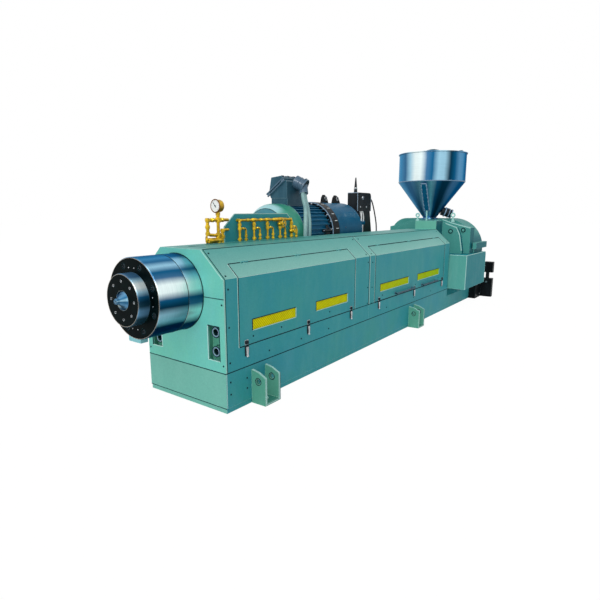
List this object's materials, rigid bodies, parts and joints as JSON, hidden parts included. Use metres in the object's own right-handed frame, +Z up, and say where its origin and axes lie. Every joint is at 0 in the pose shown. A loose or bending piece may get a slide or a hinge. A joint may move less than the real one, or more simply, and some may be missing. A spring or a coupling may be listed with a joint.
{
  "type": "plastic extruder",
  "caption": "Plastic extruder: long housing with side covers on a heavy base, a screw in a round die head, a drive motor alongside, a gearbox and a feed hopper behind.",
  "frame": {"origin": "on the floor under the middle of the base frame", "axes": "+X along the machine from the die head to the gearbox, +Y towards the motor, +Z up"},
  "size_m": [7.752, 2.011, 2.792],
  "materials": {
    "housing_paint": "satin turquoise paint",
    "cover_paint": "satin green paint",
    "grille_paint": "yellow paint",
    "bright_steel": "polished",
    "head_steel": "turned and polished",
    "brass": "plain",
    "motor_paint": "semi-gloss blue paint",
    "dark_paint": "satin dark grey-blue paint",
    "black_iron": "painted black",
    "cord_sheath": "ribbed sheath",
    "cable_sheath": "black sheath"
  },
  "bodies": {
    "machine": {"base_frame": "housing_paint", "front_panel_upper": "housing_paint", "front_panel_lower": "housing_paint", "near_side_front": "housing_paint", "near_side_rear": "housing_paint", "roof_panel": "housing_paint", "far_side_panels": "housing_paint", "rear_panel": "housing_paint", "manifold_plate": "housing_paint", "motor_dome": "housing_paint", "feed_block": "housing_paint", "feed_housing": "housing_paint", "gearbox_case": "housing_paint", "side_box": "housing_paint", "clevises": "housing_paint", "motor_stand": "housing_paint", "drive_guard": "housing_paint", "barrel_supports": "housing_paint", "latch_levers": "bright_steel", "cover_hinges": "bright_steel", "head_front_ring": "head_steel", "head_rear_ring": "head_steel", "die_adapter": "head_steel", "barrel": "head_steel", "heater_bands": "head_steel", "hose_ports": "head_steel", "brass_manifold": "brass", "gauge_piping": "brass", "pressure_gauge": "brass", "motor_body": "motor_paint", "motor_adaptor": "motor_paint", "cable_gland": "motor_paint", "hopper_cone": "motor_paint", "hopper_cylinder": "motor_paint", "hopper_lid": "motor_paint", "sight_strip": "motor_paint", "terminal_box": "dark_paint", "terminal_lid": "dark_paint", "switch_unit": "dark_paint", "motor_ring": "black_iron", "lifting_lugs": "black_iron", "switch_column": "black_iron", "oil_pump": "black_iron", "head_junction_box": "black_iron", "feeder_drive": "black_iron", "power_conduit": "cord_sheath", "signal_conduit": "cord_sheath", "switch_cable": "cable_sheath"},
    "front_cover_body": {"front_cover": "cover_paint", "front_cover_grilles": "grille_paint", "front_latch_hooks": "bright_steel"},
    "rear_cover_body": {"rear_cover": "cover_paint", "rear_cover_grilles": "grille_paint", "rear_latch_hooks": "bright_steel", "rear_cover_grips": "bright_steel"},
    "screw_body": {"screw": "head_steel"}
  },
  "joints": [
    {"name": "front_cover_hinge", "type": "hinge", "parent": "machine", "child": "front_cover_body", "pos_m": [-2.19, -0.4061, 1.26106], "axis": [-1, 0, 0], "range_deg": [0, 80]},
    {"name": "rear_cover_hinge", "type": "hinge", "parent": "machine", "child": "rear_cover_body", "pos_m": [0.555, -0.4061, 1.26106], "axis": [-1, 0, 0], "range_deg": [0, 80]},
    {"name": "screw_spin", "type": "hinge", "parent": "machine", "child": "screw_body", "pos_m": [-0.94, 0.057, 1], "axis": [1, 0, 0], "continuous": true}
  ]
}
